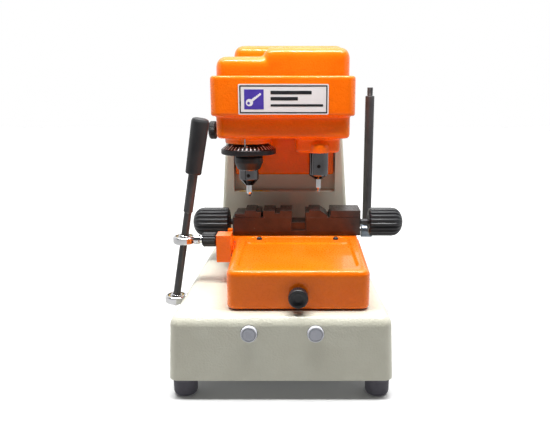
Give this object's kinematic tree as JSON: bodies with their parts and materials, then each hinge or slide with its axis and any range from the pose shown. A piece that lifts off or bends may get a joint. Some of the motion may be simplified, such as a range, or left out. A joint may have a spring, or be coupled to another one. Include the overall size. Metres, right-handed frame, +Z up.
{
  "type": "key duplicating machine",
  "caption": "Bench key duplicating machine: a vertical cutter and a depth tracer on a sprung head above a lever-driven cross slide with paired key vises.",
  "frame": {"origin": "bottom centre of the machine's box, on the bench between the feet", "axes": "+Z up, front towards -Y, +X to the operator's right"},
  "size_m": [0.2774, 0.3234, 0.343],
  "materials": {
    "base_paint": "fine hammered enamel",
    "orange_paint": "gloss textured enamel",
    "black_plastic": "moulded, satin",
    "dial_black": "black anodised, engraved and filled white",
    "blackened_steel": "oil blackened",
    "steel": "ground",
    "chrome": "polished",
    "aluminium": "machined",
    "bronze": "turned",
    "rubber": "moulded",
    "button_plastic": "moulded",
    "plate": "printed"
  },
  "bodies": {
    "frame": {"base_casting": "base_paint", "bottom_plate": "steel", "front_left_foot": "rubber", "front_right_foot": "rubber", "back_left_foot": "rubber", "back_right_foot": "rubber", "switches": "black_plastic", "power_inlet": "black_plastic", "column_casting": "base_paint", "rear_cover": "base_paint", "left_shaft_bush": "bronze", "right_shaft_bush": "bronze", "guide_frame": "aluminium", "left_guide_rod": "chrome", "right_guide_rod": "chrome", "left_return_spring": "steel", "right_return_spring": "steel", "depth_rails": "steel", "lower_rod_end": "chrome"},
    "left_button": {"left_button": "button_plastic"},
    "right_button": {"right_button": "button_plastic"},
    "feed_lever": {"feed_shaft": "steel", "feed_gear": "steel", "feed_hub": "steel", "feed_rod": "blackened_steel"},
    "head": {"head_casting": "orange_paint", "top_cover": "orange_paint", "name_plate": "plate", "dial_pointer": "steel", "motor_housing": "aluminium", "drive_belt": "rubber", "spindle_bearings": "steel", "slide_block": "aluminium", "feed_rack": "steel"},
    "motor": {"motor_pulley": "aluminium"},
    "cutter": {"cutter_spindle": "blackened_steel", "cutter_bit": "chrome", "spindle_pulley": "aluminium"},
    "dial": {"depth_dial": "dial_black", "dial_sleeve": "dial_black"},
    "tracer": {"tracer_spindle": "blackened_steel", "tracer_pin": "chrome"},
    "tracer_lock": {"tracer_lock_knob": "black_plastic"},
    "depth_slide": {"depth_slide": "aluminium"},
    "carriage": {"carriage_casting": "orange_paint", "tray_cover": "orange_paint", "vise_body": "blackened_steel", "upper_rod_end": "chrome", "lever_jam_nut": "black_plastic"},
    "tray_lock": {"tray_lock_knob": "black_plastic"},
    "left_jaw": {"left_moving_jaw": "blackened_steel"},
    "right_jaw": {"right_moving_jaw": "blackened_steel"},
    "left_vise_screw": {"left_vise_knob": "black_plastic"},
    "right_vise_screw": {"right_vise_knob": "black_plastic"},
    "lower_race": {"lower_race": "bronze"},
    "lever": {"lever_rod": "blackened_steel", "lever_grip": "black_plastic", "lower_ball": "chrome"},
    "upper_race": {"upper_race": "bronze"},
    "upper_ball": {"upper_ball": "chrome"}
  },
  "joints": [
    {"name": "left_button_press", "type": "slide", "parent": "frame", "child": "left_button", "axis": [0, 1, 0], "range_m": [0, 0.0025], "stiffness_N_per_m": 600, "springref_m": -0.001},
    {"name": "right_button_press", "type": "slide", "parent": "frame", "child": "right_button", "axis": [0, 1, 0], "range_m": [0, 0.0025], "stiffness_N_per_m": 600, "springref_m": -0.001},
    {"name": "head_slide", "type": "slide", "parent": "frame", "child": "head", "axis": [0, 0, 1], "range_m": [-0.014, 0], "stiffness_N_per_m": 2500, "springref_m": 0.05, "deforming": ["left_return_spring", "right_return_spring"]},
    {"name": "feed_lever_turn", "type": "hinge", "parent": "frame", "child": "feed_lever", "pos_m": [-0.00735, 0.1237, 0.099], "axis": [1, 0, 0], "range_deg": [0, 40.2]},
    {"name": "motor_spin", "type": "hinge", "parent": "head", "child": "motor", "pos_m": [-0.00735, 0.119, 0.301], "axis": [0, 0, 1], "continuous": true},
    {"name": "cutter_spin", "type": "hinge", "parent": "head", "child": "cutter", "pos_m": [0.0343, 0.0267, 0.2365], "axis": [0, 0, 1], "continuous": true},
    {"name": "dial_turn", "type": "hinge", "parent": "head", "child": "dial", "pos_m": [-0.049, 0.0267, 0.2167], "axis": [0, 0, 1], "range_deg": [-190, 1090]},
    {"name": "tracer_slide", "type": "slide", "parent": "head", "child": "tracer", "axis": [0, 0, 1], "range_m": [-0.001, 0.006]},
    {"name": "tracer_lock_turn", "type": "hinge", "parent": "head", "child": "tracer_lock", "pos_m": [-0.08735, 0.0267, 0.2444], "axis": [1, 0, 0], "range_deg": [-270, 90]},
    {"name": "depth_travel", "type": "slide", "parent": "frame", "child": "depth_slide", "axis": [0, 1, 0], "range_m": [-0.018, 0.01]},
    {"name": "cross_travel", "type": "slide", "parent": "depth_slide", "child": "carriage", "axis": [1, 0, 0], "range_m": [-0.03, 0.002]},
    {"name": "tray_lock_turn", "type": "hinge", "parent": "carriage", "child": "tray_lock", "pos_m": [0.00915, -0.1423, 0.099], "axis": [0, 1, 0], "range_deg": [-90, 270]},
    {"name": "left_screw_turn", "type": "hinge", "parent": "carriage", "child": "left_vise_screw", "pos_m": [-0.07735, 0.0327, 0.132], "axis": [1, 0, 0], "range_deg": [-730, 190]},
    {"name": "left_jaw_slide", "type": "slide", "parent": "carriage", "child": "left_jaw", "axis": [1, 0, 0], "range_m": [-0.006, 0.0015]},
    {"name": "right_screw_turn", "type": "hinge", "parent": "carriage", "child": "right_vise_screw", "pos_m": [0.09265, 0.0327, 0.132], "axis": [1, 0, 0], "range_deg": [-190, 730]},
    {"name": "right_jaw_slide", "type": "slide", "parent": "carriage", "child": "right_jaw", "axis": [1, 0, 0], "range_m": [-0.0015, 0.006]},
    {"name": "lever_pitch", "type": "hinge", "parent": "frame", "child": "lower_race", "pos_m": [-0.12665, -0.0513, 0.0633], "axis": [1, 0, 0], "range_deg": [-8.6, 15.4]},
    {"name": "lever_roll", "type": "hinge", "parent": "lower_race", "child": "lever", "pos_m": [-0.12665, -0.0513, 0.0633], "axis": [0, 1, 0], "range_deg": [-25.2, 1.9]},
    {"name": "upper_pitch", "type": "hinge", "parent": "carriage", "child": "upper_race", "pos_m": [-0.11495, -0.0513, 0.131], "axis": [1, 0, 0], "range_deg": [-8.6, 15.4]},
    {"name": "upper_roll", "type": "hinge", "parent": "upper_race", "child": "upper_ball", "pos_m": [-0.11495, -0.0513, 0.131], "axis": [0, 1, 0], "range_deg": [-25.2, 1.9]}
  ],
  "couplings": [
    {"joint": "feed_lever_turn", "follows": "head_slide", "rad_per_m": -50},
    {"joint": "cutter_spin", "follows": "motor_spin", "ratio": 1.3846},
    {"joint": "dial_turn", "follows": "tracer_slide", "rad_per_m": 3141.6},
    {"joint": "left_screw_turn", "follows": "left_jaw_slide", "rad_per_m": 2094.4},
    {"joint": "right_screw_turn", "follows": "right_jaw_slide", "rad_per_m": 2094.4},
    {"joint": "lever_pitch", "follows": "depth_travel", "rad_per_m": -14.77},
    {"joint": "upper_pitch", "follows": "depth_travel", "rad_per_m": -14.77},
    {"joint": "lever_roll", "follows": "cross_travel", "rad_per_m": 14.5},
    {"joint": "upper_roll", "follows": "cross_travel", "rad_per_m": 14.5}
  ]
}
